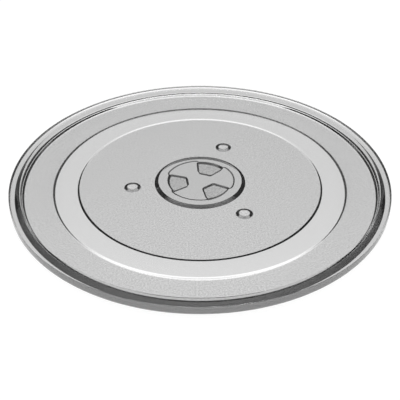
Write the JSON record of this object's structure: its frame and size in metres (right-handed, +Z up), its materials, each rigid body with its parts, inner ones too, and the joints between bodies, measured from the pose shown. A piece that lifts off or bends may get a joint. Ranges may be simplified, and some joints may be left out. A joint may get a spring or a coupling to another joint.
{
  "type": "microwave turntable plate",
  "caption": "Round pressed-glass turntable plate with a raised rim, a groove under the rim, a smooth roller track in a shallow channel underneath and a lugged drive socket in the middle of the underside.",
  "frame": {"origin": "on the plate's axis, in the plane of the flat underside on which the plate stands", "axes": "+Z up along the plate's axis, out of the dish; +X and +Y in the plane on which it stands, with one drive lug 68.5 degrees from +X towards +Y"},
  "size_m": [0.315, 0.315, 0.0116],
  "materials": {
    "clear_glass": "polished on top and on the roller track, finely stippled under the outer ring, the inner disc and the lugs"
  },
  "bodies": {
    "root": {"glass_plate": "clear_glass"}
  },
  "joints": []
}
